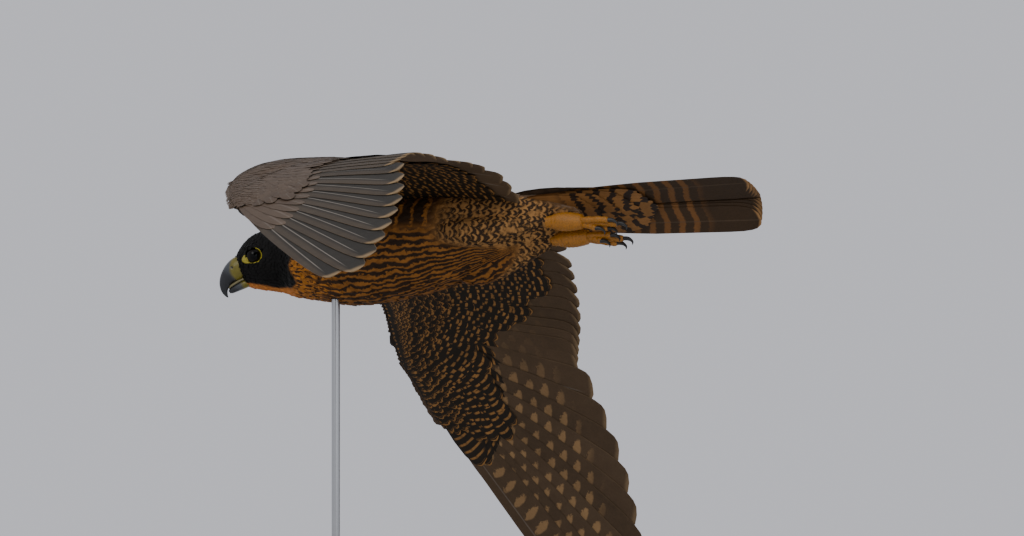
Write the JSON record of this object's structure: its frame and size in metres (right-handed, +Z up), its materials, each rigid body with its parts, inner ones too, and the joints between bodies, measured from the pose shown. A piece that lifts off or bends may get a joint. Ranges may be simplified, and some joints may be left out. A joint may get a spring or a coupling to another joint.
{
  "type": "peregrine falcon model",
  "caption": "Life-size still model of a peregrine falcon banking in flight, wings bowed below its back, on a round wooden base with one slim rod to the breast.",
  "frame": {"origin": "centre of the underside of the stand's round base", "axes": "+Z up; the bill points towards -X and the tail towards +X, with the heading turned about 21 degrees towards +Y; the raised left wing reaches towards -Y"},
  "size_m": [0.4557, 0.6197, 0.4605],
  "materials": {
    "hood_feathers": "matt feathers, nearly black",
    "breast_feathers": "matt feathers, orange-buff with fine dark bars",
    "thigh_feathers": "matt feathers, orange-buff with fine dark bars",
    "wing_feathers": "matt feathers, slate brown above and barred dark brown and buff below",
    "tail_feathers": "matt feathers, barred dark brown and buff",
    "bill": "satin horn, blue-grey with a black tip and yellow cere",
    "eye": "glossy, dark brown",
    "foot": "scaly skin, yellow, with glossy black claws",
    "stand_base": "dark stained wood, satin varnish",
    "stand_rod": "brushed steel"
  },
  "bodies": {
    "root": {"head": "hood_feathers", "neck": "breast_feathers", "torso": "breast_feathers", "leg_left": "thigh_feathers", "leg_right": "thigh_feathers", "wing_left": "wing_feathers", "wing_right": "wing_feathers", "tail": "tail_feathers", "bill_upper": "bill", "bill_lower": "bill", "eye_left": "eye", "eye_right": "eye", "foot_left": "foot", "foot_right": "foot", "stand_base": "stand_base", "stand_rod": "stand_rod"}
  },
  "joints": []
}
